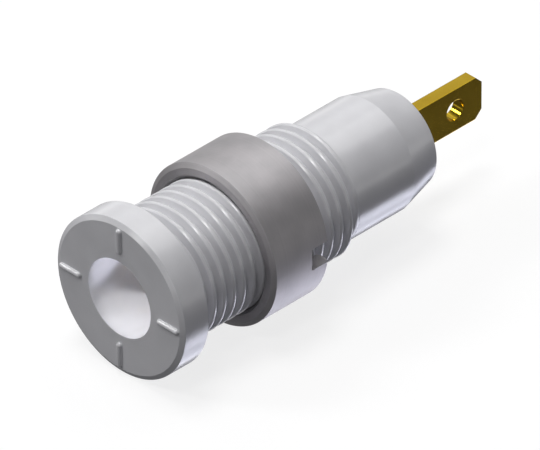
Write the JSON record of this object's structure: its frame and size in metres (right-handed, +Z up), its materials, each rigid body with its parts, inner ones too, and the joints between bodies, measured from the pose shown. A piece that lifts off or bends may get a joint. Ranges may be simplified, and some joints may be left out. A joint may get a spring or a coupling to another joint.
{
  "type": "safety panel socket",
  "caption": "Round insulated panel socket: flanged front with a recessed contact bore, threaded barrel with a slotted ring nut, tapered tail and a flat terminal tab.",
  "frame": {"origin": "on the socket's axis, in the plane of the flange's back face, which seats on the front of the panel", "axes": "+Y along the socket's axis from the plug's side to the tab, +Z up, with the tab's blade in the YZ plane"},
  "size_m": [0.0098, 0.0279, 0.0098],
  "materials": {
    "housing": "satin",
    "contact": "satin",
    "ring_nut": "satin"
  },
  "bodies": {
    "socket": {"housing": "housing", "contact": "contact"},
    "nut": {"ring_nut": "ring_nut"}
  },
  "joints": [
    {"name": "nut_travel", "type": "slide", "parent": "socket", "child": "nut", "axis": [0, 1, 0], "range_m": [-0.0045, 0.006]}
  ]
}
